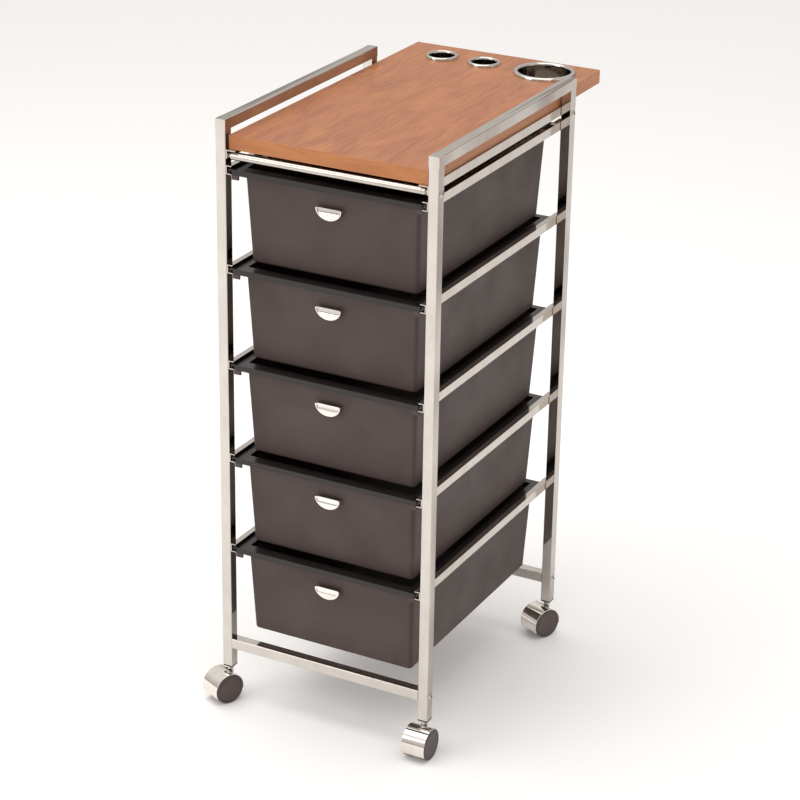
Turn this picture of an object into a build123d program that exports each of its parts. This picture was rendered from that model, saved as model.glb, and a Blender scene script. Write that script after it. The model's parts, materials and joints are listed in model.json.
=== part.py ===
"""Rolling salon trolley: chromed tube frame, laminate board, five plastic drawers, four hooded casters.

Millimetres. +Z is up, the drawers open towards -Y, and +X is to the right as seen from the front.
The origin is on the floor under the middle of the trolley. Each piece is written to parts/NODE.step.
"""
import os
from math import atan, cos, degrees, radians, sin, sqrt

from build123d import *

# ---- frame of square tube -------------------------------------------------------------------
TUBE = 15.0
TUBE_WALL = 1.2
TUBE_EDGE = 1.2
FRAME_WIDTH = 324.0
FRAME_DEPTH = 411.0
FRAME_HEIGHT = 800.0
POST_FOOT_Z = 53.0
FRAME_FRONT_Y = -250.0

# ---- crossbars and their bolts ----------------------------------------------------------------
LOWER_BAR_Z = 89.0
UPPER_BAR_Z = 804.0
UPPER_BAR_DIAMETER = 11.0
UPPER_BAR_NECK = 7.0
UPPER_BAR_NECK_LENGTH = 5.0
BOLT_DIAMETER = 5.0
BOLT_CLEARANCE = 0.2
BOLT_HEAD_DIAMETER = 10.5
BOLT_HEAD_HEIGHT = 2.6
BOLT_REACH = 12.0
BOLT_KEY = 4.0

# ---- board, its edging and the angles that carry it --------------------------------------------
BOARD_WIDTH = 289.0
BOARD_LENGTH = 526.0
BOARD_THICKNESS = 19.0
BOARD_TOP_Z = 832.0
BOARD_FRONT_Y = -245.0
EDGING = 0.8
ANGLE_HEIGHT = 12.0
ANGLE_LEDGE = 14.0
ANGLE_GAUGE = 1.5
SCREW_DIAMETER = 3.5
SCREW_DEPTH = 13.0
SCREW_HEAD_DIAMETER = 7.5
SCREW_HEAD_HEIGHT = 2.2
SCREW_COUNT_PER_SIDE = 3

# ---- tool holders let into the board: x, rim diameter, bore diameter ---------------------------
HOLDER_Y = 225.0
HOLDER_SMALL_RIM = 47.0
HOLDER_SMALL_BORE = 36.0
HOLDER_LARGE_RIM = 88.0
HOLDER_LARGE_BORE = 73.0
HOLDER_LEFT_X = -77.0
HOLDER_MIDDLE_X = -10.0
HOLDER_RIGHT_X = 84.0
HOLDER_SLEEVE_WALL = 1.2
HOLDER_RIM_HEIGHT = 4.5
HOLDER_DEPTH = 50.0
HOLDER_SEAT_GAP = 0.1

# ---- drawer runners ---------------------------------------------------------------------------
LEVELS = 5
TOP_LEVEL_Z = 786.0
LEVEL_PITCH = 136.5
RUNNER_HEIGHT = 12.0
RUNNER_LIP = 8.0
RUNNER_GAUGE = 1.2
RUNNER_SETBACK = 0.5

# ---- drawers: heights are from the middle of their runner --------------------------------------
BIN_TOP_WIDTH = 256.0
BIN_BOTTOM_WIDTH = 247.0
BIN_DEPTH_BELOW = 129.5
BIN_WALL = 2.5
BIN_FRONT_TOP = 15.0
BIN_FRONT_BOTTOM = 24.0
BIN_REAR_TOP = 394.0
BIN_REAR_BOTTOM = 383.0
BIN_CORNER = 6.0
BIN_FLOOR_EDGE = 3.5
RIM_TOP = 1.5
RIM_THICKNESS = 3.0
RIM_FRONT = 1.0
RIM_REAR = 402.0
LIP_DROP = 7.5
LIP_THICKNESS = 2.8
LIP_SIDE_GAP = 0.3
TAB_WIDTH = 10.0
TAB_DROP = 6.0
WING_GAP = 0.6
WING_START = 3.0
WING_RIB = 2.2
WING_RIDE = 0.3

# ---- half-moon pulls --------------------------------------------------------------------------
PULL_RADIUS = 20.0
PULL_HEIGHT = 15.5
PULL_TOP_BELOW_LEVEL = 31.0
PULL_PROJECTION = 8.5
PULL_SHELL = 1.5
PULL_RIM = 1.8
PULL_DISH = 0.7
PULL_STUD_DIAMETER = 4.0
PULL_STUD_SPACING = 20.0
PULL_STUD_GAP = 0.1

# ---- post plugs and caster stems ----------------------------------------------------------------
PLUG_FLANGE = 2.0
PLUG_DEPTH = 22.0
PLUG_SLACK = 0.1
PLUG_BORE = 8.2
STEM_SHANK = 8.0
STEM_SHANK_LENGTH = 20.0
STEM_COLLAR_DIAMETER = 13.0
STEM_COLLAR_HEIGHT = 2.5
STEM_NECK_DIAMETER = 9.0
STEM_NECK_Z = 36.4
STEM_PIN_DIAMETER = 7.9
STEM_PIN_Z = 26.0

# ---- casters: twin wheels under a barrel hood ---------------------------------------------------
WHEEL_RADIUS = 21.75
WHEEL_OUTER = 17.85
WHEEL_INNER = 6.4
WHEEL_TREAD = 2.8
WHEEL_FACE = 2.4
WHEEL_HUB_RADIUS = 5.5
WHEEL_EDGE = 1.4
WHEEL_GROOVE_RADIUS = 18.2
WHEEL_GROOVE = 0.6
CASTER_TRAIL = 12.5
HOOD_INNER_RADIUS = 22.2
HOOD_SHELL = 1.2
HOOD_HALF_LENGTH = 17.2
HOOD_STEM_SIDE_ANGLE = -12.0
HOOD_FAR_SIDE_ANGLE = 207.0
HOOD_SLOT = (18.0, 11.0)
CORE_HALF_WIDTH = 6.0
CORE_SEAT_DIAMETER = 10.0
CORE_SEAT_Z = 36.0
CORE_BORE_DIAMETER = 8.0
CORE_BORE_Z = 25.0
AXLE_DIAMETER = 5.0
AXLE_RUNNING_GAP = 0.05
AXLE_HALF_LENGTH = 15.0
PARKED_SWIVELS = {"front_left": -25.0, "front_right": 0.0, "rear_left": 14.0, "rear_right": -25.0}

# ---- places that follow from the sizes above -----------------------------------------------------
FRAME_TOP_Z = POST_FOOT_Z + FRAME_HEIGHT
FRAME_REAR_Y = FRAME_FRONT_Y + FRAME_DEPTH
INNER_X = FRAME_WIDTH / 2 - TUBE
POST_X = FRAME_WIDTH / 2 - TUBE / 2
POST_FRONT_Y = FRAME_FRONT_Y + TUBE / 2
POST_REAR_Y = FRAME_REAR_Y - TUBE / 2
BOARD_BOTTOM_Z = BOARD_TOP_Z - BOARD_THICKNESS
BOARD_MID_Y = BOARD_FRONT_Y + BOARD_LENGTH / 2
AXLE_Z = WHEEL_RADIUS
SIDES = {"left": -1, "right": 1}
ENDS = {"front": POST_FRONT_Y, "rear": POST_REAR_Y}
HOLDERS = {
    "left": (HOLDER_LEFT_X, HOLDER_SMALL_RIM, HOLDER_SMALL_BORE),
    "middle": (HOLDER_MIDDLE_X, HOLDER_SMALL_RIM, HOLDER_SMALL_BORE),
    "right": (HOLDER_RIGHT_X, HOLDER_LARGE_RIM, HOLDER_LARGE_BORE),
}
X_AXIS = Rotation(0, 90, 0)


def level_z(level):
    """Height of the middle of a runner; level 1 is the top drawer."""
    return TOP_LEVEL_Z - (level - 1) * LEVEL_PITCH


def block(x0, x1, y0, y1, z0, z1):
    """A box given by its lowest and highest corners."""
    size = Box(x1 - x0, y1 - y0, z1 - z0)
    return Pos((x0 + x1) / 2, (y0 + y1) / 2, (z0 + z1) / 2) * size


def rod_x(x0, x1, y, z, diameter):
    """A round rod along X."""
    return Pos((x0 + x1) / 2, y, z) * X_AXIS * Cylinder(diameter / 2, x1 - x0)


def rod_z(x, y, z0, z1, diameter):
    """A round rod along Z."""
    return Pos(x, y, (z0 + z1) / 2) * Cylinder(diameter / 2, z1 - z0)


def square_tube_solid(length, size, edge):
    """A square bar along Z, standing on z = 0, with its long edges rounded."""
    return extrude(RectangleRounded(size, size, edge), length)


# ---- frame --------------------------------------------------------------------------------------
def inverted_u(size, edge, foot_z, top_z, front_y, rear_y):
    """Two posts and a top rail as one bar, mitred at the corners; front_y and rear_y are the outer faces."""
    posts = [
        Pos(0, y, foot_z) * square_tube_solid(top_z - foot_z, size, edge)
        for y in (front_y + size / 2, rear_y - size / 2)
    ]
    rail = Pos(0, rear_y, top_z - size / 2) * Rotation(90, 0, 0) * square_tube_solid(
        rear_y - front_y, size, edge
    )
    return posts[0] + posts[1] + rail


def side_frame(side):
    """One side of the frame: front post, top rail and rear post in one bent tube, with bolt holes."""
    outer = inverted_u(TUBE, TUBE_EDGE, POST_FOOT_Z, FRAME_TOP_Z, FRAME_FRONT_Y, FRAME_REAR_Y)
    bore = inverted_u(
        TUBE - 2 * TUBE_WALL, TUBE_EDGE / 2, POST_FOOT_Z - 1, FRAME_TOP_Z - TUBE_WALL,
        FRAME_FRONT_Y + TUBE_WALL, FRAME_REAR_Y - TUBE_WALL,
    )
    tube = Pos(side * POST_X, 0, 0) * (outer - bore)
    for y in ENDS.values():
        for z in (LOWER_BAR_Z, UPPER_BAR_Z):
            hole = BOLT_DIAMETER + 2 * BOLT_CLEARANCE
            tube -= rod_x(side * POST_X - TUBE, side * POST_X + TUBE, y, z, hole)
    return tube


def lower_crossbar(y):
    """Square tube between the posts near the floor, with a drilled slug in each end."""
    bar = Pos(-INNER_X, y, LOWER_BAR_Z) * X_AXIS * square_tube_solid(2 * INNER_X, TUBE, TUBE_EDGE)
    hollow = TUBE - 2 * TUBE_WALL
    slug = BOLT_REACH + 2
    bar -= Pos(0, y, LOWER_BAR_Z) * Box(2 * (INNER_X - slug), hollow, hollow)
    return bar - end_bores(y, LOWER_BAR_Z)


def upper_crossbar(y):
    """Round bar under the board, necked down where it meets the posts."""
    shoulder = INNER_X - UPPER_BAR_NECK_LENGTH
    bar = rod_x(-shoulder, shoulder, y, UPPER_BAR_Z, UPPER_BAR_DIAMETER)
    bar = chamfer(bar.edges().filter_by(GeomType.CIRCLE), 1.0)
    bar += rod_x(-INNER_X, INNER_X, y, UPPER_BAR_Z, UPPER_BAR_NECK)
    return bar - end_bores(y, UPPER_BAR_Z)


def end_bores(y, z):
    """The two bolt bores in a crossbar's ends."""
    size = BOLT_DIAMETER + BOLT_CLEARANCE
    depth = BOLT_REACH + 1
    bores = [rod_x(s * INNER_X - depth, s * INNER_X + depth, y, z, size) for s in (-1, 1)]
    return bores[0] + bores[1]


def bolt(side, y, z):
    """Button-head bolt through a post into a crossbar's end."""
    face = FRAME_WIDTH / 2
    dome = 2.2 * BOLT_HEAD_HEIGHT
    head = Cylinder(BOLT_HEAD_DIAMETER / 2, dome, align=(Align.CENTER, Align.CENTER, Align.MIN))
    ball_radius = (BOLT_HEAD_DIAMETER**2 / 4 + BOLT_HEAD_HEIGHT**2) / (2 * BOLT_HEAD_HEIGHT)
    head &= Pos(0, 0, BOLT_HEAD_HEIGHT - ball_radius) * Sphere(ball_radius)
    key = extrude(RegularPolygon(BOLT_KEY / 2, 6, major_radius=False), BOLT_HEAD_HEIGHT)
    head -= Pos(0, 0, BOLT_HEAD_HEIGHT - 1.8) * key
    shank_length = TUBE + BOLT_REACH
    shank = Pos(0, 0, -shank_length / 2) * Cylinder(BOLT_DIAMETER / 2, shank_length)
    return Pos(side * face, y, z) * Rotation(0, side * 90, 0) * (head + shank)


def crossbar_bolts():
    """All the bolts that hold the crossbars, as one group of separate solids."""
    places = [(s, y, z) for s in (-1, 1) for y in ENDS.values() for z in (LOWER_BAR_Z, UPPER_BAR_Z)]
    return Compound([bolt(*place).solid() for place in places])


def board_angle(side):
    """Steel angle along the posts' inner faces; the board lies on its ledge."""
    y0, y1 = FRAME_FRONT_Y + 1, FRAME_REAR_Y - 1
    outer = side * INNER_X
    web = outer - side * ANGLE_GAUGE
    ledge = outer - side * ANGLE_LEDGE
    top, bottom = BOARD_BOTTOM_Z, BOARD_BOTTOM_Z - ANGLE_HEIGHT
    angle = block(min(outer, web), max(outer, web), y0, y1, bottom, top)
    angle += block(min(outer, ledge), max(outer, ledge), y0, y1, top - ANGLE_GAUGE, top)
    for y in ENDS.values():
        angle -= rod_x(outer - TUBE, outer + TUBE, y, UPPER_BAR_Z, UPPER_BAR_NECK + 0.6)
    for y in screw_ys():
        angle -= rod_z(screw_x(side), y, top - TUBE, top + 1, SCREW_DIAMETER + 0.4)
    return angle


def screw_x(side):
    """Where the board screws stand across the trolley."""
    return side * (INNER_X - ANGLE_LEDGE / 2 - 0.5)


def screw_ys():
    """Where the board screws stand along the trolley, evenly between the posts."""
    span = POST_REAR_Y - POST_FRONT_Y
    steps = SCREW_COUNT_PER_SIDE + 1
    return [POST_FRONT_Y + span * i / steps for i in range(1, steps)]


def board_screws():
    """Pan-head screws from below through the angles into the board, one group of solids."""
    under = BOARD_BOTTOM_Z - ANGLE_GAUGE
    solids = []
    for side in SIDES.values():
        for y in screw_ys():
            x = screw_x(side)
            screw = rod_z(x, y, under, BOARD_BOTTOM_Z + SCREW_DEPTH, SCREW_DIAMETER)
            screw += rod_z(x, y, under - SCREW_HEAD_HEIGHT, under, SCREW_HEAD_DIAMETER)
            solids.append(screw.solid())
    return Compound(solids)


# ---- board ---------------------------------------------------------------------------------------
def board_slab(inset):
    """The board's slab with its edges moved in by inset."""
    return Pos(0, BOARD_MID_Y, BOARD_TOP_Z - BOARD_THICKNESS / 2) * Box(
        BOARD_WIDTH - 2 * inset, BOARD_LENGTH - 2 * inset, BOARD_THICKNESS
    )


def top_board():
    """Laminated board with three holder holes and pilot holes for its screws."""
    board = board_slab(EDGING)
    for x, _, bore in HOLDERS.values():
        hole = bore + 2 * (HOLDER_SLEEVE_WALL + HOLDER_SEAT_GAP)
        board -= rod_z(x, HOLDER_Y, BOARD_BOTTOM_Z - 1, BOARD_TOP_Z + 1, hole)
    for side in SIDES.values():
        for y in screw_ys():
            pilot_top = BOARD_BOTTOM_Z + SCREW_DEPTH + 0.5
            board -= rod_z(screw_x(side), y, BOARD_BOTTOM_Z - 1, pilot_top, SCREW_DIAMETER)
    return board


def edge_banding():
    """The thin band glued round the board's edges."""
    return board_slab(0) - board_slab(EDGING)


def tool_holder(x, rim, bore):
    """Open sleeve with a rounded rim that stands on the board."""
    inner = bore / 2
    sleeve = inner + HOLDER_SLEEVE_WALL
    top = BOARD_TOP_Z + HOLDER_RIM_HEIGHT
    bottom = top - HOLDER_DEPTH
    with BuildPart() as holder:
        with BuildSketch(Plane.XZ):
            with BuildLine():
                Polyline((inner, bottom), (sleeve, bottom), (sleeve, BOARD_TOP_Z), (rim / 2, BOARD_TOP_Z))
                Spline(
                    (rim / 2, BOARD_TOP_Z), ((rim / 2 + inner) / 2, top), (inner, top - HOLDER_RIM_HEIGHT),
                    tangents=((0, 1), (0, -1)),
                )
                Line((inner, top - HOLDER_RIM_HEIGHT), (inner, bottom))
            make_face()
        revolve(axis=Axis.Z)
    return Pos(x, HOLDER_Y, 0) * holder.part


# ---- runners and drawers -------------------------------------------------------------------------
def runner(side, level):
    """C-section channel, open towards the drawer, welded to the posts' inner faces."""
    y0, y1 = FRAME_FRONT_Y + RUNNER_SETBACK, FRAME_REAR_Y - RUNNER_SETBACK
    z0, z1 = level_z(level) - RUNNER_HEIGHT / 2, level_z(level) + RUNNER_HEIGHT / 2
    outer, lip = side * INNER_X, side * (INNER_X - RUNNER_LIP)
    web = side * (INNER_X - RUNNER_GAUGE)
    channel = block(min(outer, lip), max(outer, lip), y0, y1, z0, z1)
    reach = side * RUNNER_LIP
    hollow = block(min(web, web - reach), max(web, web - reach), y0 - 1, y1 + 1,
                   z0 + RUNNER_GAUGE, z1 - RUNNER_GAUGE)
    return channel - hollow


def bin_body(inset, floor_z, top_z):
    """Tapered box of the bin between two heights, its walls moved in by inset."""
    def section(z):
        t = -z / BIN_DEPTH_BELOW
        width = BIN_TOP_WIDTH + t * (BIN_BOTTOM_WIDTH - BIN_TOP_WIDTH) - 2 * inset
        front = BIN_FRONT_TOP + t * (BIN_FRONT_BOTTOM - BIN_FRONT_TOP) + inset
        rear = BIN_REAR_TOP + t * (BIN_REAR_BOTTOM - BIN_REAR_TOP) - inset
        outline = RectangleRounded(width, rear - front, BIN_CORNER - inset)
        return Pos(0, (front + rear) / 2, z) * outline
    body = loft([section(top_z), section(floor_z)])
    floor_edges = body.faces().sort_by(Axis.Z)[0].edges()
    return fillet(floor_edges, BIN_FLOOR_EDGE - inset)


def drawer_bin(level):
    """One moulded drawer: tapered bin, flat rim, front lip with end tabs, and side wings for the runners."""
    channel_inner = INNER_X - RUNNER_LIP
    lip_half = channel_inner - LIP_SIDE_GAP
    wing_half = INNER_X - RUNNER_GAUGE - WING_GAP
    rim_under = RIM_TOP - RIM_THICKNESS
    shell = bin_body(0, -BIN_DEPTH_BELOW, RIM_TOP)
    shell += block(-lip_half, lip_half, RIM_FRONT, RIM_REAR, rim_under, RIM_TOP)
    shell += block(-wing_half, wing_half, WING_START, RIM_REAR, rim_under, RIM_TOP)
    lip_back = RIM_FRONT + LIP_THICKNESS
    shell += block(-lip_half, lip_half, RIM_FRONT, lip_back, RIM_TOP - LIP_DROP, RIM_TOP)
    rib_bottom = -RUNNER_HEIGHT / 2 + RUNNER_GAUGE + WING_RIDE
    for side in SIDES.values():
        tab = sorted((side * lip_half, side * (lip_half - TAB_WIDTH)))
        tab_bottom = RIM_TOP - LIP_DROP - TAB_DROP
        shell += block(*tab, RIM_FRONT, lip_back, tab_bottom, RIM_TOP)
        rib = sorted((side * wing_half, side * (wing_half - WING_RIB)))
        shell += block(*rib, WING_START, RIM_REAR, rib_bottom, rim_under)
    front_top = shell.edges().filter_by(Axis.X).sort_by(Axis.Y)[:6].sort_by(Axis.Z)[-1]
    shell = fillet(front_top, 1.8)
    shell -= bin_body(BIN_WALL, -BIN_DEPTH_BELOW + BIN_WALL, RIM_TOP + 1)
    for x in (-PULL_STUD_SPACING / 2, PULL_STUD_SPACING / 2):
        shell -= on_bin_front(Pos(x, 0, pull_middle()) * pull_stud(PULL_STUD_GAP, BIN_WALL * 3))
    return Pos(0, FRAME_FRONT_Y, level_z(level)) * shell


def on_bin_front(shape):
    """Leans a shape modelled against the plane y = 0, below z = 0, onto the bin's sloping front."""
    slope = atan((BIN_FRONT_BOTTOM - BIN_FRONT_TOP) / BIN_DEPTH_BELOW)
    return Pos(0, BIN_FRONT_TOP, 0) * Rotation(degrees(slope), 0, 0) * shape


def pull_middle():
    """Height of the pull's studs, along the bin's front."""
    return -PULL_TOP_BELOW_LEVEL - PULL_HEIGHT / 2 + 2


def pull_stud(extra, length):
    """A stud along Y, half of it each side of y = 0."""
    return Rotation(90, 0, 0) * Cylinder(PULL_STUD_DIAMETER / 2 + extra, 2 * length)


def half_moon(radius, depth):
    """Disc of a radius with its top cut off flat at z = 0, from y = -depth to y = 0."""
    middle = PULL_RADIUS - PULL_HEIGHT
    disc = Pos(0, -depth / 2, middle) * Rotation(90, 0, 0) * Cylinder(radius, depth)
    return disc & block(-radius, radius, -depth, 0, middle - radius, 0)


def drawer_pull(level):
    """Half-moon pull: a dished front with a raised rim, and a finger pocket behind it open at the top."""
    shell = half_moon(PULL_RADIUS, PULL_PROJECTION)
    pocket_depth = PULL_PROJECTION - PULL_SHELL - PULL_DISH - 1.0
    pocket = half_moon(PULL_RADIUS - PULL_SHELL, pocket_depth)
    shell -= Pos(0, -1.0, 0) * pocket
    shell -= Pos(0, -1.0, 1) * (pocket & block(-30, 30, -30, 0, -2, 0))
    shell -= Pos(0, -PULL_PROJECTION + PULL_DISH, 0) * half_moon(PULL_RADIUS - PULL_RIM, 5.0)
    for x in (-PULL_STUD_SPACING / 2, PULL_STUD_SPACING / 2):
        stud = Rotation(90, 0, 0) * Cylinder(PULL_STUD_DIAMETER / 2, BIN_WALL + 1)
        shell += Pos(x, (BIN_WALL + 1) / 2 - 0.5, pull_middle() + PULL_TOP_BELOW_LEVEL) * stud
    pull = on_bin_front(Pos(0, 0, -PULL_TOP_BELOW_LEVEL) * shell)
    return Pos(0, FRAME_FRONT_Y, level_z(level)) * pull


# ---- plugs and casters -----------------------------------------------------------------------------
def corners():
    """Caster name to the middle of its post."""
    return {
        f"{end}_{side}": (SIDES[side] * POST_X, ENDS[end]) for end in ENDS for side in SIDES
    }


def post_plug(x, y):
    """Plastic plug in a post's open foot, bored for the caster's stem."""
    body = TUBE - 2 * (TUBE_WALL + PLUG_SLACK)
    plug = Pos(x, y, POST_FOOT_Z) * square_tube_solid(PLUG_DEPTH, body, TUBE_EDGE / 2)
    plug += Pos(x, y, POST_FOOT_Z - PLUG_FLANGE) * square_tube_solid(PLUG_FLANGE, TUBE, TUBE_EDGE)
    return plug - rod_z(x, y, POST_FOOT_Z - 10, POST_FOOT_Z + PLUG_DEPTH + 1, PLUG_BORE)


def caster_stem(x, y):
    """Turned stem: shank in the plug, collar, neck, and the pin that the caster turns on."""
    collar_top = POST_FOOT_Z - PLUG_FLANGE
    collar_bottom = collar_top - STEM_COLLAR_HEIGHT
    stem = rod_z(x, y, collar_bottom, collar_top, STEM_COLLAR_DIAMETER)
    stem = chamfer(stem.edges().filter_by(GeomType.CIRCLE), 0.6)
    stem += rod_z(x, y, collar_top - 1, collar_top + STEM_SHANK_LENGTH, STEM_SHANK)
    stem += rod_z(x, y, STEM_NECK_Z, collar_bottom + 1, STEM_NECK_DIAMETER)
    stem += rod_z(x, y, STEM_PIN_Z, STEM_NECK_Z + 1, STEM_PIN_DIAMETER)
    return stem


def parked(name, shape):
    """Puts a caster piece, modelled with its stem at x = y = 0, under its post and turned as parked."""
    x, y = corners()[name]
    return Pos(x, y, 0) * Rotation(0, 0, PARKED_SWIVELS[name]) * shape


def hood_sector(radius, half_length):
    """Disc sector along X round the axle, as far round as the hood reaches."""
    start, stop = radians(HOOD_STEM_SIDE_ANGLE), radians(HOOD_FAR_SIDE_ANGLE)
    middle = (start + stop) / 2
    ends = [(radius * cos(a), radius * sin(a)) for a in (start, middle, stop)]
    with BuildPart() as sector:
        with BuildSketch(Plane.YZ.offset(-half_length)):
            with BuildLine():
                ThreePointArc(*ends)
                Line(ends[2], ends[0])
            make_face()
        extrude(amount=2 * half_length)
    return Pos(0, -CASTER_TRAIL, AXLE_Z) * sector.part


def caster_hood():
    """Bright barrel shell over both wheels, slotted where the stem comes in."""
    outer = hood_sector(HOOD_INNER_RADIUS + HOOD_SHELL, HOOD_HALF_LENGTH)
    bore = rod_x(-HOOD_HALF_LENGTH - 1, HOOD_HALF_LENGTH + 1, -CASTER_TRAIL, AXLE_Z, 2 * HOOD_INNER_RADIUS)
    shell = outer - bore
    return shell - Pos(0, 0, CORE_SEAT_Z) * Box(*HOOD_SLOT, 30)


def caster_core():
    """Moulded middle of the caster: holds the hood, the stem's pin and the axle."""
    core = hood_sector(HOOD_INNER_RADIUS, CORE_HALF_WIDTH)
    core -= rod_z(0, 0, CORE_SEAT_Z, CORE_SEAT_Z + 20, CORE_SEAT_DIAMETER)
    core -= rod_z(0, 0, CORE_BORE_Z, CORE_SEAT_Z + 1, CORE_BORE_DIAMETER)
    return core - rod_x(-20, 20, -CASTER_TRAIL, AXLE_Z, AXLE_DIAMETER)


def caster_axle():
    """Steel pin through the core; a wheel runs on each end."""
    axle = rod_x(-AXLE_HALF_LENGTH, AXLE_HALF_LENGTH, -CASTER_TRAIL, AXLE_Z, AXLE_DIAMETER)
    return chamfer(axle.edges().filter_by(GeomType.CIRCLE), 0.5)


def caster_wheel(side):
    """Moulded wheel: tread, flat closed face with a shallow groove, and a blind-bored hub."""
    bore = AXLE_DIAMETER / 2 + AXLE_RUNNING_GAP
    face_back = WHEEL_OUTER - WHEEL_FACE
    inner_tread = WHEEL_RADIUS - WHEEL_TREAD
    with BuildPart() as wheel:
        with BuildSketch(Plane.XY):
            with BuildLine():
                Polyline(
                    (0, WHEEL_OUTER), (0, face_back), (bore, face_back), (bore, WHEEL_INNER),
                    (WHEEL_HUB_RADIUS, WHEEL_INNER), (WHEEL_HUB_RADIUS, face_back),
                    (inner_tread, face_back), (inner_tread, WHEEL_INNER),
                    (WHEEL_RADIUS - 0.8, WHEEL_INNER), (WHEEL_RADIUS, WHEEL_INNER + 0.8),
                    (WHEEL_RADIUS, WHEEL_OUTER - WHEEL_EDGE),
                )
                RadiusArc(
                    (WHEEL_RADIUS, WHEEL_OUTER - WHEEL_EDGE), (WHEEL_RADIUS - WHEEL_EDGE, WHEEL_OUTER),
                    -WHEEL_EDGE,
                )
                Polyline(
                    (WHEEL_RADIUS - WHEEL_EDGE, WHEEL_OUTER), (WHEEL_GROOVE_RADIUS + WHEEL_GROOVE, WHEEL_OUTER),
                    (WHEEL_GROOVE_RADIUS, WHEEL_OUTER - WHEEL_GROOVE),
                    (WHEEL_GROOVE_RADIUS - WHEEL_GROOVE, WHEEL_OUTER), (0, WHEEL_OUTER),
                )
            make_face()
        revolve(axis=Axis.Y)
    turned = Rotation(0, 0, -90) if side > 0 else Rotation(0, 0, 90)
    return Pos(0, -CASTER_TRAIL, AXLE_Z) * turned * wheel.part


# ---- every node ----------------------------------------------------------------------------------
def build_nodes():
    """Node name to its shape."""
    nodes = {}
    for name, side in SIDES.items():
        nodes[f"side_frame_{name}"] = side_frame(side)
        nodes[f"board_angle_{name}"] = board_angle(side)
    for name, y in ENDS.items():
        nodes[f"lower_crossbar_{name}"] = lower_crossbar(y)
        nodes[f"upper_crossbar_{name}"] = upper_crossbar(y)
    nodes["crossbar_bolts"] = crossbar_bolts()
    nodes["board_screws"] = board_screws()
    nodes["top_board"] = top_board()
    nodes["edge_banding"] = edge_banding()
    for name, (x, rim, bore) in HOLDERS.items():
        nodes[f"tool_holder_{name}"] = tool_holder(x, rim, bore)
    for level in range(1, LEVELS + 1):
        for name, side in SIDES.items():
            nodes[f"runner_{level}_{name}"] = runner(side, level)
        nodes[f"drawer_{level}_bin"] = drawer_bin(level)
        nodes[f"drawer_{level}_pull"] = drawer_pull(level)
    nodes["post_plugs"] = Compound([post_plug(x, y).solid() for x, y in corners().values()])
    nodes["caster_stems"] = Compound([caster_stem(x, y).solid() for x, y in corners().values()])
    for name in corners():
        nodes[f"caster_{name}_hood"] = parked(name, caster_hood())
        nodes[f"caster_{name}_core"] = parked(name, caster_core())
        nodes[f"caster_{name}_axle"] = parked(name, caster_axle())
        nodes[f"caster_{name}_wheel_left"] = parked(name, caster_wheel(-1))
        nodes[f"caster_{name}_wheel_right"] = parked(name, caster_wheel(1))
    return nodes


if __name__ == "__main__":
    os.makedirs("parts", exist_ok=True)
    for node, shape in build_nodes().items():
        export_step(shape, f"parts/{node}.step")
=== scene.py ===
"""Looks of a rolling salon trolley: chromed square-tube frame, cherry-laminate top with chromed tool
holders, five moulded drawers and four hooded casters.

Metres, +Z up, the drawers open towards -Y, and +X is to the right seen from the front.
"""
import json
import math

import bmesh
import bpy
from mathutils import Matrix, Vector


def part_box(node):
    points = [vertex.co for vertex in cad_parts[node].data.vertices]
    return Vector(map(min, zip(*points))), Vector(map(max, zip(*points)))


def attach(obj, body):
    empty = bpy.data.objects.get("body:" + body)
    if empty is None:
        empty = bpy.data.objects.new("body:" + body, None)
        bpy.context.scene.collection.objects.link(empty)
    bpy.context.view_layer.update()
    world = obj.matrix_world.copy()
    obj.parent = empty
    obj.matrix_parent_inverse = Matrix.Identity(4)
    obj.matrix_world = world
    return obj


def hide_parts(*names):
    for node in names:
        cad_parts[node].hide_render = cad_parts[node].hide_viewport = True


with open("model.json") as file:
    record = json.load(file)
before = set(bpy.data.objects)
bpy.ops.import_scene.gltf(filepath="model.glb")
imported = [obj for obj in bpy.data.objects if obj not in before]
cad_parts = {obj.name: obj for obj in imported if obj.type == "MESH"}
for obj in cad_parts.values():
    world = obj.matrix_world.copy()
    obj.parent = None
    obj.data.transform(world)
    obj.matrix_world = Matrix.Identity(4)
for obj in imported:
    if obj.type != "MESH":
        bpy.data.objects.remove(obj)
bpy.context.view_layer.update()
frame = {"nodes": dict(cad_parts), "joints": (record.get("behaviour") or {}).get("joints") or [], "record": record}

MM = 0.001


# ---- colours and shader nodes ---------------------------------------------------------------------
def linear(colour):
    """An sRGB hex colour as the linear values that a shader takes."""
    channels = [int(colour[i:i + 2], 16) / 255 for i in (1, 3, 5)]
    return tuple(c / 12.92 if c <= 0.04045 else ((c + 0.055) / 1.055) ** 2.4 for c in channels) + (1.0,)


def feed(tree, target, inputs):
    """Sets a node's inputs: each is a value, or another node's output that is linked to it."""
    for key, value in inputs.items():
        if isinstance(value, bpy.types.NodeSocket):
            tree.links.new(value, target.inputs[key])
        else:
            target.inputs[key].default_value = value


def node(tree, kind, inputs, out=0, **settings):
    """Adds one shader node with its settings and links, and gives the output that is named or counted."""
    made = tree.nodes.new(kind)
    for key, value in settings.items():
        setattr(made, key, value)
    feed(tree, made, inputs)
    return made.outputs[out]


def finish_of(name, **sockets):
    """A new material and its tree and shader, with the values that are the same all over."""
    material = bpy.data.materials.new(name)
    material.use_nodes = True
    tree = material.node_tree
    shader = tree.nodes["Principled BSDF"]
    feed(tree, shader, {key.replace("_", " "): value for key, value in sockets.items()})
    return material, tree, shader


def per_metre(*sizes_mm):
    """How often each of the sizes in millimetres fits into a metre."""
    return tuple(1 / (size * MM) for size in sizes_mm)


def grain_at(tree, x, y, z):
    """The piece's own coordinates, counted in repeats of x, y and z millimetres."""
    place = node(tree, "ShaderNodeTexCoord", {}, "Object")
    return node(tree, "ShaderNodeMapping", {"Vector": place, "Scale": per_metre(x, y, z)})


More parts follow.
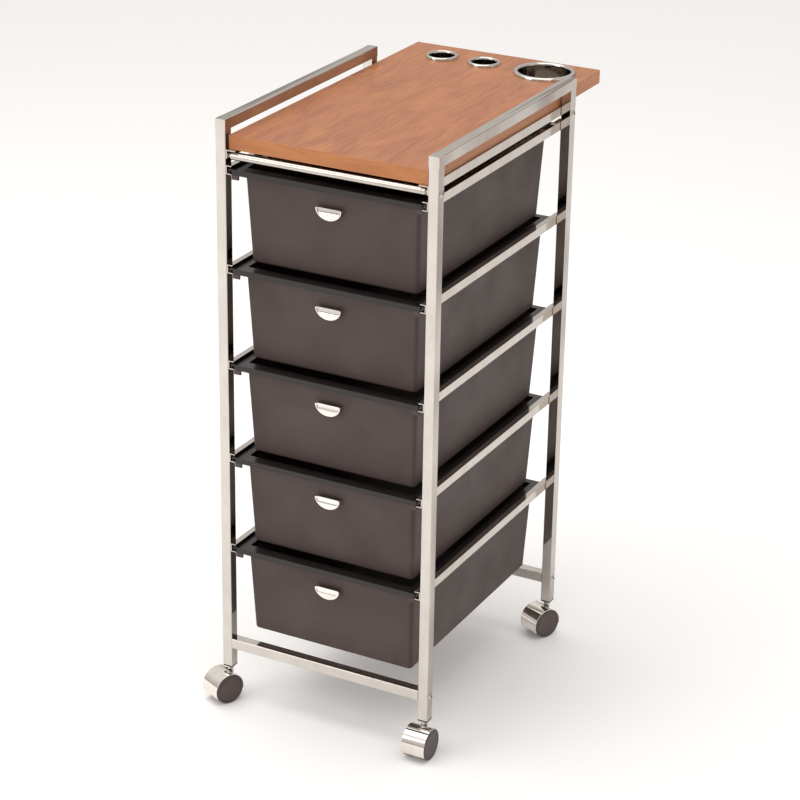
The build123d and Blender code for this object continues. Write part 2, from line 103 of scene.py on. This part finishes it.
def along_the_edge(tree, x, y, z):
    """Like grain_at, but on faces that look along Y the x and y sizes change places, as a band is laid."""
    facing = node(tree, "ShaderNodeNewGeometry", {}, "True Normal")
    facing_y = node(tree, "ShaderNodeSeparateXYZ", {"Vector": facing}, "Y")
    end = node(tree, "ShaderNodeMath", {0: facing_y}, operation="ABSOLUTE")
    ways = {4: grain_at(tree, x, y, z), 5: grain_at(tree, y, x, z)}
    return node(tree, "ShaderNodeMix", {"Factor": end, **ways}, 1, data_type="VECTOR")


# A noise's values mostly lie in this range, so it is what gets stretched over a finish's own range.
NOISE_SPAN = {"From Min": 0.3, "From Max": 0.7}
FROM_0_TO_1 = {"To Min": 0.0, "To Max": 1.0}


# ---- finishes -------------------------------------------------------------------------------------
def bright_chrome(name, light, dull, clean, hazed, wave_mm):
    """Chromium plate on polished steel: a hard mirror, slightly warm, with a faint wipe haze."""
    material, tree, shader = finish_of(name, Metallic=1.0)
    haze = node(tree, "ShaderNodeTexNoise", {
        "Vector": grain_at(tree, 22, 22, 40), "Scale": 1.0, "Detail": 5.0, "Roughness": 0.6})
    waves = node(tree, "ShaderNodeTexNoise", {
        "Vector": grain_at(tree, wave_mm, wave_mm, wave_mm), "Scale": 1.0, "Detail": 1.0, "Roughness": 0.5})
    hazy = node(tree, "ShaderNodeMapRange", {"Value": haze, **NOISE_SPAN, **FROM_0_TO_1})
    feed(tree, shader, {
        "Base Color": node(tree, "ShaderNodeMix", {"Factor": hazy, 6: linear(light), 7: linear(dull)}, 2,
                           data_type="RGBA"),
        "Roughness": node(tree, "ShaderNodeMapRange", {
            "Value": haze, **NOISE_SPAN, "To Min": clean, "To Max": hazed}),
        "Normal": node(tree, "ShaderNodeBump", {"Height": waves, "Distance": 0.02 * MM, "Strength": 0.25}),
    })
    return material


def darkened(material, where, colour):
    """Mixes a darker colour into a finished material, by the share that the function "where" gives."""
    tree = material.node_tree
    shader = tree.nodes["Principled BSDF"]
    plate = shader.inputs["Base Color"].links[0].from_socket
    feed(tree, shader, {"Base Color": node(
        tree, "ShaderNodeMix", {"Factor": where(tree), 6: plate, 7: linear(colour)}, 2, data_type="RGBA")})
    return material


def painted_room_reflection(tree):
    """Painted reflection: darker patches on faces that look sideways, for a dark side of the room, and thin dark
    streaks on those that look up or down.
    """
    facing = node(tree, "ShaderNodeNewGeometry", {}, "True Normal")
    patches = node(tree, "ShaderNodeMapRange", {
        "Value": node(tree, "ShaderNodeTexNoise", {
            "Vector": grain_at(tree, 90, 110, 170), "Scale": 1.0, "Detail": 1.5, "Roughness": 0.4}),
        "From Min": 0.42, "From Max": 0.62, "To Min": 0.25, "To Max": 1.0})
    streaks = node(tree, "ShaderNodeMapRange", {
        "Value": node(tree, "ShaderNodeTexNoise", {
            "Vector": grain_at(tree, 9, 420, 9), "Scale": 1.0, "Detail": 1.5, "Roughness": 0.5}),
        "From Min": 0.48, "From Max": 0.60, **FROM_0_TO_1})
    shown = []
    for way, reflection_share in (("X", patches), ("Z", streaks)):
        along_way = node(tree, "ShaderNodeSeparateXYZ", {"Vector": facing}, way)
        facing_it = node(tree, "ShaderNodeMath", {0: along_way}, operation="ABSOLUTE")
        shown.append(node(tree, "ShaderNodeMath", {0: facing_it, 1: reflection_share}, operation="MULTIPLY"))
    return node(tree, "ShaderNodeMath", {0: shown[0], 1: shown[1]}, operation="ADD", use_clamp=True)


def painted_cup_shade(tree):
    """Share of painted shade inside a cup: rises from none just under the board's face to full 5 mm below it."""
    board_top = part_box("top_board")[1].z
    place = node(tree, "ShaderNodeTexCoord", {}, "Object")
    height = node(tree, "ShaderNodeSeparateXYZ", {"Vector": place}, "Z")
    return node(tree, "ShaderNodeMapRange", {
        "Value": height, "From Min": board_top - 5 * MM, "From Max": board_top - 0.5 * MM,
        "To Min": 1.0, "To Max": 0.0})


def turned_steel(name, light, dull):
    """Zinc or nickel plated turned steel: grey, soft, with fine rings."""
    material, tree, shader = finish_of(name, Metallic=1.0)
    rings = node(tree, "ShaderNodeTexNoise", {
        "Vector": grain_at(tree, 0.9, 0.9, 0.35), "Scale": 1.0, "Detail": 2.0, "Roughness": 0.5})
    ringed = node(tree, "ShaderNodeMapRange", {"Value": rings, **NOISE_SPAN, **FROM_0_TO_1})
    feed(tree, shader, {
        "Base Color": node(tree, "ShaderNodeMix", {"Factor": ringed, 6: linear(light), 7: linear(dull)}, 2,
                           data_type="RGBA"),
        "Roughness": node(tree, "ShaderNodeMapRange", {
            "Value": rings, **NOISE_SPAN, "To Min": 0.24, "To Max": 0.42}),
        "Normal": node(tree, "ShaderNodeBump", {"Height": rings, "Distance": 0.02 * MM, "Strength": 0.3}),
    })
    return material


def cherry(name, light, dark, vein, roughness, laid=grain_at):
    """Cherry-print laminate under a satin resin coat: long fibres along Y and broad flames, with arched
    growth rings where it is laid flat."""
    material, tree, shader = finish_of(name, Coat_Weight=0.12, Coat_Roughness=0.25)
    flames = node(tree, "ShaderNodeTexNoise", {
        "Vector": laid(tree, 38, 150, 38), "Scale": 1.0, "Detail": 4.0, "Roughness": 0.6, "Distortion": 1.3})
    # real fibres are about 0.3 mm; they are drawn 1.2 mm wide so that they show
    fibres = node(tree, "ShaderNodeTexNoise", {
        "Vector": laid(tree, 1.2, 30, 1.2), "Scale": 1.0, "Detail": 3.0, "Roughness": 0.65})
    veins = node(tree, "ShaderNodeTexNoise", {
        "Vector": laid(tree, 5, 120, 5), "Scale": 1.0, "Detail": 3.5, "Roughness": 0.6, "Distortion": 1.5})
    flaming = node(tree, "ShaderNodeMapRange", {"Value": flames, **NOISE_SPAN, **FROM_0_TO_1})
    body = node(tree, "ShaderNodeMix", {"Factor": flaming, 6: linear(light), 7: linear(dark)}, 2,
                data_type="RGBA")
    fibred = node(tree, "ShaderNodeMapRange", {"Value": fibres, **NOISE_SPAN, "To Min": 0.0, "To Max": 0.20})
    veined = node(tree, "ShaderNodeMapRange", {
        "Value": veins, "From Min": 0.50, "From Max": 0.74, "To Min": 0.0, "To Max": 0.28})
    lines = node(tree, "ShaderNodeMath", {0: fibred, 1: veined}, operation="ADD", use_clamp=True)
    if laid is grain_at:
        # a ring is 0.31 of the wave's x size: they lie about 10 mm apart, and fade where the flames are light
        rings = node(tree, "ShaderNodeTexWave", {
            "Vector": laid(tree, 32, 84, 32), "Scale": 1.0, "Distortion": 24.0, "Detail": 3.0,
            "Detail Scale": 0.34, "Detail Roughness": 0.58}, "Fac", bands_direction="X")
        ringed = node(tree, "ShaderNodeMapRange", {
            "Value": rings, "From Min": 0.5, "From Max": 1.0, "To Min": 0.0, "To Max": 0.26})
        faded = node(tree, "ShaderNodeMapRange", {
            "Value": flames, **NOISE_SPAN, "To Min": 0.15, "To Max": 1.0})
        shown = node(tree, "ShaderNodeMath", {0: ringed, 1: faded}, operation="MULTIPLY")
        lines = node(tree, "ShaderNodeMath", {0: lines, 1: shown}, operation="ADD", use_clamp=True)
    feed(tree, shader, {
        "Base Color": node(tree, "ShaderNodeMix", {"Factor": lines, 6: body, 7: linear(vein)}, 2,
                           data_type="RGBA"),
        "Roughness": node(tree, "ShaderNodeMapRange", {
            "Value": fibres, **NOISE_SPAN, "To Min": roughness - 0.05, "To Max": roughness + 0.08}),
        "Normal": node(tree, "ShaderNodeBump", {"Height": fibres, "Distance": 0.05 * MM, "Strength": 0.2}),
    })
    return material


def moulded(name, light, dark, smooth, rough, grit_mm, depth_mm):
    """Injection-moulded polypropylene, polyethylene or nylon: dark, satin, with a fine spark-eroded grit."""
    material, tree, shader = finish_of(name, IOR=1.49)
    cloud = node(tree, "ShaderNodeTexNoise", {
        "Vector": grain_at(tree, 60, 60, 60), "Scale": 1.0, "Detail": 3.0, "Roughness": 0.5})
    grit = node(tree, "ShaderNodeTexNoise", {
        "Vector": grain_at(tree, grit_mm, grit_mm, grit_mm), "Scale": 1.0, "Detail": 2.0, "Roughness": 0.6})
    clouded = node(tree, "ShaderNodeMapRange", {"Value": cloud, **NOISE_SPAN, **FROM_0_TO_1})
    feed(tree, shader, {
        "Base Color": node(tree, "ShaderNodeMix", {"Factor": clouded, 6: linear(light), 7: linear(dark)}, 2,
                           data_type="RGBA"),
        "Roughness": node(tree, "ShaderNodeMapRange", {
            "Value": cloud, **NOISE_SPAN, "To Min": smooth, "To Max": rough}),
        "Normal": node(tree, "ShaderNodeBump", {
            "Height": grit, "Distance": depth_mm * MM, "Strength": 0.35}),
    })
    return material


RIM_DEPTH = 7.6 * MM     # from the rim's top down to its lower edge
RIM_MARGIN = 0.1 * MM    # keeps the rim's top face inside its own band
# the rim's near-black colour is painted shade; its lower roughness is the real, smoother rim
RIM_PAINTED_SHADE, RIM_ROUGHNESS = "#1F1919", 0.27
LEVELS_BELOW = 20        # more than the drawers there are, so that no height counted from there is negative


def drawer_moulding(name):
    """Dark brown polypropylene: the walls have a fine grit and a satin sheen, and the rim, which the tool's
    polished parting edge makes, is smooth.
    The rim band's near-black colour is painted shade, for the shade under the drawer or board above."""
    material = moulded(name, "#4C3E3B", "#453734", 0.52, 0.62, 1.4, 0.04)
    tree = material.node_tree
    shader = tree.nodes["Principled BSDF"]
    rim_tops = [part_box(f"drawer_{level}_bin")[1].z for level in (1, 2)]
    pitch = rim_tops[0] - rim_tops[1]
    lowest = rim_tops[0] - RIM_DEPTH - LEVELS_BELOW * pitch
    place = node(tree, "ShaderNodeTexCoord", {}, "Object")
    height = node(tree, "ShaderNodeSeparateXYZ", {"Vector": place}, "Z")
    above = node(tree, "ShaderNodeMath", {0: height, 1: lowest}, operation="SUBTRACT")
    within = node(tree, "ShaderNodeMath", {0: above, 1: pitch}, operation="MODULO")
    rim = node(tree, "ShaderNodeMath", {0: within, 1: RIM_DEPTH + RIM_MARGIN}, operation="LESS_THAN")
    wall_colour = shader.inputs["Base Color"].links[0].from_socket
    wall_roughness = shader.inputs["Roughness"].links[0].from_socket
    feed(tree, shader, {
        # the rim band gets painted shade in its colour, and its own smoother roughness
        "Base Color": node(tree, "ShaderNodeMix", {"Factor": rim, 6: wall_colour, 7: linear(RIM_PAINTED_SHADE)}, 2,
                           data_type="RGBA"),
        "Roughness": node(tree, "ShaderNodeMix", {"Factor": rim, 2: wall_roughness, 3: RIM_ROUGHNESS},
                          data_type="FLOAT"),
    })
    return material


FINISHES = {
    # painted reflection: a polished tube's side faces are darkened for the dark side of a room, and thin dark
    # lines are painted along its top and bottom faces
    # the darker colour mixed in below is painted reflection on the sideways and up or down faces
    "chromed_tube": darkened(bright_chrome("tube_chrome", "#D4CEC8", "#C9C2BB", 0.04, 0.10, 45),
                             painted_room_reflection, "#9A8E87"),
    "chromed_runner": bright_chrome("runner_chrome", "#D0C9C2", "#C2BAB2", 0.08, 0.16, 60),
    "chromed_angle": bright_chrome("angle_chrome", "#CCC5BE", "#BFB8B0", 0.10, 0.18, 60),
    # plate is bright on a rolled rim, and down inside a cup it is darkened: painted shade for the cup's dark depth
    "chromed_holder": darkened(bright_chrome("holder_chrome", "#D6D0CA", "#C6BFB8", 0.05, 0.12, 30),
                               painted_cup_shade, "#A0968D"),
    "chromed_bolt": bright_chrome("bolt_chrome", "#CBC6C0", "#B7B1AB", 0.10, 0.22, 8),
    "chromed_pull": bright_chrome("pull_chrome", "#F2EEEA", "#E8E3DD", 0.08, 0.14, 12),
    "chromed_hood": bright_chrome("hood_chrome", "#F0EBE5", "#E4DDD5", 0.03, 0.08, 26),
    "caster_stem": turned_steel("stem_nickel", "#E4E2DF", "#CFCCC8"),
    "axle_steel": turned_steel("axle_turned_steel", "#B9B7B3", "#97948F"),
    "zinc_screw": turned_steel("screw_zinc", "#BFC0BC", "#9A9B97"),
    "cherry_laminate": cherry("cherry_laminate", "#B87443", "#9F5F38", "#74432A", 0.42),
    "cherry_edge_band": cherry("cherry_edge_band", "#C67E49", "#B06C3C", "#87502B", 0.44, along_the_edge),
    "drawer_plastic": drawer_moulding("drawer_polypropylene"),
    "black_plug": moulded("plug_polyethylene", "#1E1B1A", "#151312", 0.45, 0.58, 0.9, 0.03),
    "caster_core": moulded("core_nylon", "#1F1C1B", "#161413", 0.42, 0.55, 0.9, 0.03),
    "wheel_plastic": moulded("wheel_nylon", "#564846", "#473A39", 0.40, 0.52, 0.8, 0.03),
}

# the crossbars are plated too, but get none of the tube's painted reflection lines along Y: the round ones have a
# softer polish, and a darker plate colour that is painted shade
CROSSBAR_FINISHES = {
    "upper_crossbar": bright_chrome("round_bar_chrome", "#C6BFB7", "#B9B1A9", 0.12, 0.20, 40),
    "lower_crossbar": bright_chrome("square_bar_chrome", "#D4CEC8", "#C9C2BB", 0.04, 0.10, 45),
}

for subpart in frame["record"]["subparts"]:
    piece = frame["nodes"][subpart["node"]]
    kind = subpart["node"].rsplit("_", 1)[0]
    piece.data.materials.clear()
    piece.data.materials.append(CROSSBAR_FINISHES.get(kind, FINISHES[subpart["material_slot"]]))


# ---- pieces made here: creased pulls and smooth hoods ----------------------------------------------
def shown_piece(name, points, faces, material, stands_for, body):
    """Makes a smooth mesh piece that rides on a body and stands for a CAD node."""
    mesh = bpy.data.meshes.new(name)
    mesh.from_pydata(points, [], faces)
    mesh.update()
    made = bpy.data.objects.new(name, mesh)
    bpy.context.scene.collection.objects.link(made)
    tidy = bmesh.new()
    tidy.from_mesh(mesh)
    bmesh.ops.recalc_face_normals(tidy, faces=tidy.faces)
    tidy.to_mesh(mesh)
    tidy.free()
    mesh.materials.append(material)
    for face in mesh.polygons:
        face.use_smooth = True
    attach(made, body)
    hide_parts(stands_for)
    return made


PULL_COLUMNS, PULL_ROWS = 44, 24
PULL_RIM = 0.6 * MM          # width of the rounded rim round the half moon
PULL_ROLL = 0.6              # how far that rim falls back, as a share of its width
PULL_EDGE = 1.1 * MM         # where the leaning face starts, measured in from the arc
PULL_EAR = 0.5 * MM          # how far an ear runs out past the plate's tip
PULL_DEPTH = 4.6 * MM        # from the upright face to the back of the plate
PULL_CREASE = 0.50           # where the leaning face starts, as a share of the height from the top
PULL_TILT = math.tan(math.radians(11.5))
PULL_FLARE, PULL_FLARE_REACH = 0.45 * MM, 1.3 * MM   # it leans most just above the crease
PULL_WALL = 4.2 * MM         # from the back of the pull's box to the drawer's wall, at the pull's foot
PULL_SHELL = (0.93, 0.83)    # outer and inner side of the shell behind the plate, as shares of the arc
PULL_SHELL_LAP = 0.3 * MM    # how far the shell runs into the plate
PULL_SHELL_SKIPS = 4         # rows below the tips that the shell leaves free
EAR_HEIGHT = 1.3 * MM
# an ear's two ends: x from the plate's tip inwards, y from the front of the pull's box, depth
EAR_ENDS = ((1.6 * MM, 0.9 * MM, 1.5 * MM), (-PULL_EAR, 5.2 * MM, 1.4 * MM))
DRAWER_LEAN = math.tan(math.radians(3.98))


def pull_grid(low, high, is_back):
    """Grid over a half moon with its straight edge on top. The lower half stands upright, and above a
    level crease the face leans back towards the straight edge."""
    half, height = (high.x - low.x) / 2 - PULL_EAR, high.z - low.z
    points = []
    for row in range(PULL_ROWS + 1):
        down = math.sin(math.pi / 2 * row / PULL_ROWS)
        across = half * math.sqrt(max(1 - down ** 2, 0.0))
        for column in range(PULL_COLUMNS + 1):
            x = across * math.sin(math.pi / 2 * (2 * column / PULL_COLUMNS - 1))
            inside = max(1 - math.hypot(x / half, down), 0.0) * height
            rise = min(inside / PULL_RIM, 1.0)
            roll = PULL_RIM * PULL_ROLL * (1 - math.sqrt(1 - (1 - rise) ** 2))
            above = max(PULL_CREASE - down, 0.0) * height
            lean = PULL_TILT * above + PULL_FLARE * (1 - math.exp(-above / PULL_FLARE_REACH))
            lean *= max(min(inside / PULL_EDGE - 1, 1.0), 0.0)
            y = low.y + (PULL_DEPTH if is_back else roll + lean)
            points.append((x, y + down * height * DRAWER_LEAN, high.z - down * height))
    return points


def sweep(points, faces, sections):
    """Adds a closed bar that runs through sections of equally many points, capped at both ends."""
    base, count = len(points), len(sections[0])
    for section in sections:
        points += section
    for i in range(len(sections) - 1):
        for j in range(count):
            a, b = base + i * count + j, base + i * count + (j + 1) % count
            faces.append((a, b, b + count, a + count))
    faces.append(tuple(base + j for j in range(count)))
    faces.append(tuple(base + (len(sections) - 1) * count + j for j in reversed(range(count))))


def half_moon_pull(level):
    """Half-moon pull: a creased plate held off the drawer by a shell under its arc, with an ear at each
    tip."""
    low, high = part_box(f"drawer_{level}_pull")
    front, back = pull_grid(low, high, False), pull_grid(low, high, True)
    last = PULL_ROWS * (PULL_COLUMNS + 1)
    # all the columns of the last row meet in one point at the foot of the arc, so a fan closes the grid
    points = front[:last] + [front[last]] + back[:last] + [back[last]]
    faces, step, behind = [], PULL_COLUMNS + 1, last + 1
    for row in range(PULL_ROWS):
        for column in range(PULL_COLUMNS):
            a = row * step + column
            ring = (a, a + 1, a + 1 + step, a + step) if row < PULL_ROWS - 1 else (a, a + 1, last)
            faces.append(ring)
            faces.append(tuple(i + behind for i in reversed(ring)))
    left = [row * step for row in range(PULL_ROWS)]
    right = [row * step + PULL_COLUMNS for row in range(PULL_ROWS)]
    ring = list(range(step)) + right[1:] + [last] + left[:0:-1]
    for here, there in zip(ring, ring[1:] + ring[:1]):
        faces.append((here, there, there + behind, here + behind))
    shell = []
    for i in right[PULL_SHELL_SKIPS:] + [last] + left[:PULL_SHELL_SKIPS - 1:-1]:
        x, y, z = points[i + behind]
        plate_y, drawer_y = y - PULL_SHELL_LAP, high.y - PULL_WALL - (z - low.z) * DRAWER_LEAN
        outer, inner = ((x * share, high.z - (high.z - z) * share) for share in PULL_SHELL)
        shell.append([(outer[0], plate_y, outer[1]), (outer[0], drawer_y, outer[1]),
                      (inner[0], drawer_y, inner[1]), (inner[0], plate_y, inner[1])])
    sweep(points, faces, shell)
    for way in (-1, 1):
        ear = []
        for inwards, back_by, deep in EAR_ENDS:
            x, y, foot = way * (high.x - PULL_EAR - inwards), low.y + back_by, high.z - EAR_HEIGHT
            ear.append([(x, y, high.z), (x, y + deep, high.z), (x, y + deep, foot), (x, y, foot)])
        sweep(points, faces, ear)
    made = shown_piece(f"pull_{level}", points, faces, FINISHES["chromed_pull"],
                       f"drawer_{level}_pull", f"drawer_{level}")
    made.data.set_sharp_from_angle(angle=math.radians(40))


HOOD_INNER, HOOD_SHELL, HOOD_HALF = 22.2 * MM, 1.2 * MM, 17.2 * MM
HOOD_RADIUS = HOOD_INNER + HOOD_SHELL / 2
HOOD_START, HOOD_STOP = math.radians(-12), math.radians(207)
HOOD_SLOT_HALF = (9.0 * MM, 5.5 * MM)      # along the axle, and across it
HOOD_STATIONS = (HOOD_HALF, 15.5 * MM, 12.0 * MM, HOOD_SLOT_HALF[0], 4.5 * MM, 0.0)
HOOD_STEPS = 110
HOOD_NEAREST = math.radians(0.8)           # no even step lies closer than this to the slot's edge
HOOD_SOFT_EDGE = 0.4 * MM


def hood_section_angles(trail):
    """Angles round the hood, with two that fall on the stem slot's edges."""
    slot = [math.acos((trail + s * HOOD_SLOT_HALF[1]) / HOOD_RADIUS) for s in (-1, 1)]
    even = [HOOD_START + (HOOD_STOP - HOOD_START) * i / HOOD_STEPS for i in range(HOOD_STEPS + 1)]
    spread_out = [a for a in even if min(abs(a - s) for s in slot) > HOOD_NEAREST]
    return sorted(spread_out + slot), sorted(slot)


def caster_hood(corner):
    """Barrel hood over both wheels: a smooth shell with softened rims and a slot for the stem."""
    joints = {joint["name"]: joint for joint in frame["joints"]}
    swivel, spin = joints[f"caster_{corner}_swivel"], joints[f"wheel_{corner}_left_spin"]
    stem, axle, along = Vector(swivel["pos_m"]), Vector(spin["pos_m"]), Vector(spin["axis"]).normalized()
    trail = Vector((stem.x - axle.x, stem.y - axle.y, 0.0))
    ahead = trail.normalized()
    angles, (slot_low, slot_high) = hood_section_angles(trail.length)
    stations = sorted({s * x for s in (-1, 1) for x in HOOD_STATIONS})
    points, faces = [], []
    for angle in angles:
        for station in stations:
            points.append(axle + along * station + ahead * HOOD_RADIUS * math.cos(angle)
                          + Vector((0, 0, 1)) * HOOD_RADIUS * math.sin(angle))
    row = len(stations)
    for i in range(len(angles) - 1):
        for j in range(row - 1):
            middle_angle = (angles[i] + angles[i + 1]) / 2
            middle_station = (stations[j] + stations[j + 1]) / 2
            in_slot = slot_low < middle_angle < slot_high and abs(middle_station) < HOOD_SLOT_HALF[0]
            if not in_slot:
                faces.append((i * row + j, i * row + j + 1, (i + 1) * row + j + 1, (i + 1) * row + j))
    made = shown_piece(f"hood_{corner}", points, faces, FINISHES["chromed_hood"],
                       f"caster_{corner}_hood", f"caster_{corner}")
    shell = made.modifiers.new("shell", "SOLIDIFY")
    shell.thickness, shell.offset, shell.use_even_offset = HOOD_SHELL, 0.0, True
    rims = made.modifiers.new("soft_rims", "BEVEL")
    rims.width, rims.segments, rims.limit_method = HOOD_SOFT_EDGE, 3, "ANGLE"
    rims.angle_limit = math.radians(60)
    rims.harden_normals = True


for level in range(1, 6):
    half_moon_pull(level)
for end in ("front", "rear"):
    for side in ("left", "right"):
        caster_hood(f"{end}_{side}")


# ---- studio ---------------------------------------------------------------------------------------
def studio_floor(half_size):
    """Wide floor of pale matt paint under the wheels, whose faint glow keeps its shadows pale."""
    mesh = bpy.data.meshes.new("studio_floor")
    corners = [(-half_size, -half_size, 0), (half_size, -half_size, 0),
               (half_size, half_size, 0), (-half_size, half_size, 0)]
    mesh.from_pydata(corners, [], [(0, 1, 2, 3)])
    floor = bpy.data.objects.new("studio_floor", mesh)
    paint = finish_of("floor_paint", Base_Color=linear("#FBFAF9"), Roughness=0.9,
                      Emission_Color=linear("#FFFFFF"), Emission_Strength=0.10)[0]
    mesh.materials.append(paint)
    bpy.context.scene.collection.objects.link(floor)


def softbox(name, place, aim, width, height, watts, colour):
    """Large area lamp that faces a point."""
    lamp = bpy.data.lights.new(name, "AREA")
    lamp.shape, lamp.size, lamp.size_y = "RECTANGLE", width, height
    lamp.energy, lamp.color = watts, linear(colour)[:3]
    holder = bpy.data.objects.new(name, lamp)
    holder.location = place
    holder.rotation_euler = (Vector(aim) - Vector(place)).to_track_quat("-Z", "Y").to_euler()
    bpy.context.scene.collection.objects.link(holder)


def studio_air():
    """Soft light from all round, as in a tent: bright overhead, dimmer at the horizon and on the right."""
    world = bpy.data.worlds.new("studio_air")
    world.use_nodes = True
    tree = world.node_tree
    background = tree.nodes["Background"]
    way = node(tree, "ShaderNodeTexCoord", {}, "Generated")
    height = node(tree, "ShaderNodeSeparateXYZ", {"Vector": way}, "Z")
    across = node(tree, "ShaderNodeSeparateXYZ", {"Vector": way}, "X")
    overhead = node(tree, "ShaderNodeMapRange", {
        "Value": height, "From Min": -0.05, "From Max": 0.55, **FROM_0_TO_1})
    feed(tree, background, {
        "Color": node(tree, "ShaderNodeMix", {
            "Factor": overhead, 6: linear("#B9B2AC"), 7: linear("#FFFDFA")}, 2, data_type="RGBA"),
        "Strength": node(tree, "ShaderNodeMapRange", {
            "Value": across, "From Min": -0.5, "From Max": 0.8, "To Min": 0.86, "To Max": 0.68}),
    })
    bpy.context.scene.world = world


studio_floor(half_size=9.0)
studio_air()
# name, place, the point it faces, width, height, watts, colour
softbox("top_softbox", (-0.4, -0.3, 2.8), (0, 0, 0.4), 2.8, 2.8, 40, "#FFFFFF")
softbox("front_softbox", (-1.9, -2.6, 1.7), (0, 0, 0.45), 1.6, 1.8, 19, "#FFFBF6")
softbox("side_softbox", (2.8, -0.2, 1.5), (0, 0, 0.45), 1.0, 1.6, 1.5, "#FFF8F2")


CAMERA_PLACE = (1.479, -2.867, 1.798)
CAMERA_AZIMUTH, CAMERA_ELEVATION, CAMERA_ROLL = (math.radians(a) for a in (27.57, 23.44, 0.94))
SENSOR_MM, LENS_MM = 36.0, 112.2


def studio_camera():
    """Long lens a little above the trolley and to its right, turned slightly on its axis."""
    level = math.cos(CAMERA_ELEVATION)
    back = Vector((math.sin(CAMERA_AZIMUTH) * level, -math.cos(CAMERA_AZIMUTH) * level,
                   math.sin(CAMERA_ELEVATION)))
    right = (-back).cross(Vector((0, 0, 1))).normalized()
    up = right.cross(-back)
    across = math.cos(CAMERA_ROLL) * right + math.sin(CAMERA_ROLL) * up
    upright = -math.sin(CAMERA_ROLL) * right + math.cos(CAMERA_ROLL) * up
    lens = bpy.data.cameras.new("studio_camera")
    lens.sensor_width, lens.lens = SENSOR_MM, LENS_MM
    lens.clip_start, lens.clip_end = 0.1, 60.0
    camera = bpy.data.objects.new("studio_camera", lens)
    turn = Matrix((across, upright, back)).transposed().to_4x4()
    camera.matrix_world = Matrix.Translation(CAMERA_PLACE) @ turn
    bpy.context.scene.collection.objects.link(camera)
    bpy.context.scene.camera = camera


studio_camera()
bpy.context.scene.view_settings.view_transform = "Standard"
